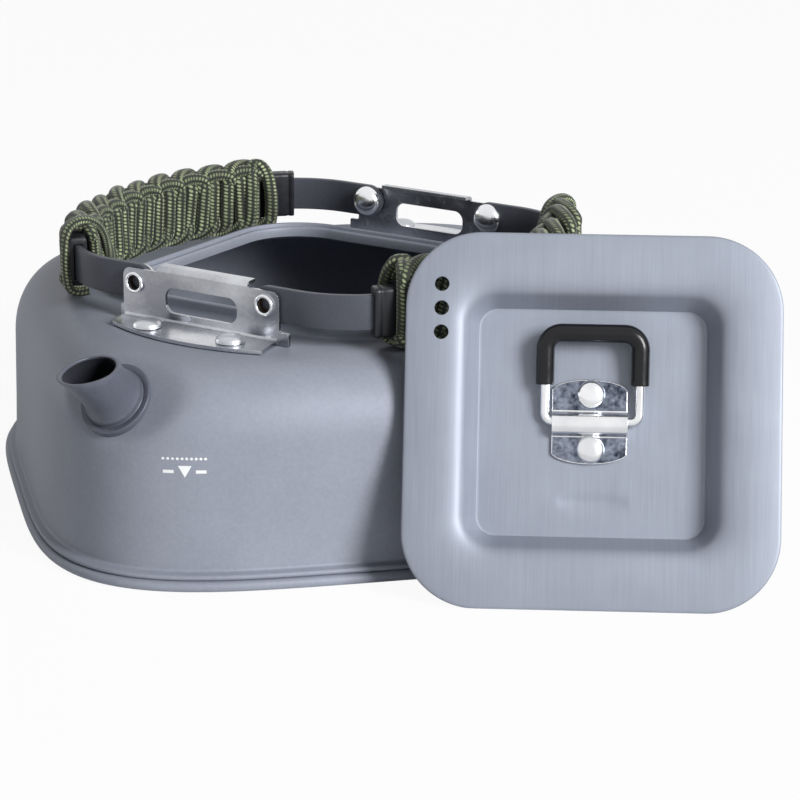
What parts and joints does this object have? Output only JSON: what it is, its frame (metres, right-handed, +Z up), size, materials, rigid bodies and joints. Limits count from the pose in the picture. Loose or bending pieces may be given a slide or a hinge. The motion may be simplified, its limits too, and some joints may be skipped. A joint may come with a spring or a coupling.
{
  "type": "camping kettle",
  "caption": "Low square camping kettle with a stub spout, two folding cord-wound handle arms and a lift-off lid leaning against it.",
  "frame": {"origin": "centre of the flat underside, on the floor", "axes": "+Z up; -Y towards the spout; +X towards the right handle arm and the lid"},
  "size_m": [0.2732, 0.2339, 0.0946],
  "materials": {
    "anodised_aluminium": "satin grey-blue anodised",
    "brushed_aluminium": "brushed, clear anodised",
    "polished_steel": "polished",
    "coated_steel": "satin dark grey",
    "black_plastic": "matte",
    "black_rubber": "matte",
    "braided_cord": "woven olive cord"
  },
  "bodies": {
    "kettle": {"base_pan": "anodised_aluminium", "body_shell": "anodised_aluminium", "spout": "anodised_aluminium", "front_bracket": "polished_steel", "front_foot_rivet_left": "polished_steel", "front_pivot_rivet_left": "polished_steel", "front_foot_rivet_right": "polished_steel", "front_pivot_rivet_right": "polished_steel", "rear_bracket": "polished_steel", "rear_foot_rivet_left": "polished_steel", "rear_pivot_rivet_left": "polished_steel", "rear_foot_rivet_right": "polished_steel", "rear_pivot_rivet_right": "polished_steel"},
    "left_arm": {"left_strap": "coated_steel", "left_grip_core": "black_plastic", "left_grip_cord": "braided_cord"},
    "right_arm": {"right_strap": "coated_steel", "right_grip_core": "black_plastic", "right_grip_cord": "braided_cord"},
    "lid": {"lid_shell": "brushed_aluminium", "lid_saddle": "polished_steel", "lid_rivet_upper": "polished_steel", "lid_rivet_lower": "polished_steel"},
    "lid_bail": {"bail_wire": "polished_steel", "bail_sleeve": "black_rubber"}
  },
  "joints": [
    {"name": "right_arm_hinge", "type": "hinge", "parent": "kettle", "child": "right_arm", "pos_m": [0.0223, 0, 0.0718], "axis": [0, -1, 0], "range_deg": [0, 104]},
    {"name": "left_arm_hinge", "type": "hinge", "parent": "kettle", "child": "left_arm", "pos_m": [-0.0223, 0, 0.0718], "axis": [0, 1, 0], "range_deg": [0, 104]},
    {"name": "lid_lift", "type": "slide", "parent": "kettle", "child": "lid", "axis": [0, 0, 1], "range_m": [0, 0.15]},
    {"name": "bail_hinge", "type": "hinge", "parent": "lid", "child": "lid_bail", "pos_m": [0.10903, -0.03269, 0.04505], "axis": [0.8704, 0.4924, 0], "range_deg": [0, 162]}
  ]
}
